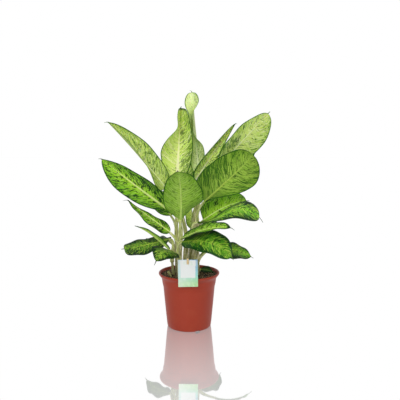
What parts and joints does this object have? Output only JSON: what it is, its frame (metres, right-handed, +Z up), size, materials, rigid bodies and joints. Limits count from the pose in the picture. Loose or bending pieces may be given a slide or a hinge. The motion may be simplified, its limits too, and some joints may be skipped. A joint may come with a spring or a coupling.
{
  "type": "potted dieffenbachia",
  "caption": "Leafy house plant with large mottled oval leaves on upright canes, standing in soil in a round tapered grower's pot, with a plain care card on a stake.",
  "frame": {"origin": "centre of the pot's underside, on the surface that the pot stands on", "axes": "+Z up along the pot's axis; -Y towards the care card and the viewer; +X to the viewer's right"},
  "size_m": [0.4561, 0.401, 0.6531],
  "materials": {
    "pot": "satin moulded plastic, brick red",
    "soil": "damp crumbly peat, dark brown",
    "stem": "waxy, pale green to beige",
    "leaf": "satin waxy leaf, mottled yellow-green and dark green",
    "card": "smooth printed card",
    "stake": "bare pale wood"
  },
  "bodies": {
    "root": {"card": "card", "leaf_back_centre": "leaf", "leaf_back_left": "leaf", "leaf_back_low_left": "leaf", "leaf_back_low_right": "leaf", "leaf_back_middle": "leaf", "leaf_back_right": "leaf", "leaf_front": "leaf", "leaf_front_low": "leaf", "leaf_in_pot": "leaf", "leaf_inner": "leaf", "leaf_left_edge": "leaf", "leaf_left_low": "leaf", "leaf_left_middle": "leaf", "leaf_left_narrow": "leaf", "leaf_left_small": "leaf", "leaf_left_upper": "leaf", "leaf_right_arched": "leaf", "leaf_right_behind": "leaf", "leaf_right_far": "leaf", "leaf_right_folded": "leaf", "leaf_right_large": "leaf", "leaf_right_narrow": "leaf", "leaf_right_upper": "leaf", "leaf_top_centre": "leaf", "leaf_topmost": "leaf", "pot": "pot", "soil": "soil", "stake": "stake", "stem_centre": "stem", "stem_front": "stem", "stem_left": "stem", "stem_middle": "stem", "stem_rear": "stem", "stem_right": "stem", "stem_stub": "stem"}
  },
  "joints": []
}
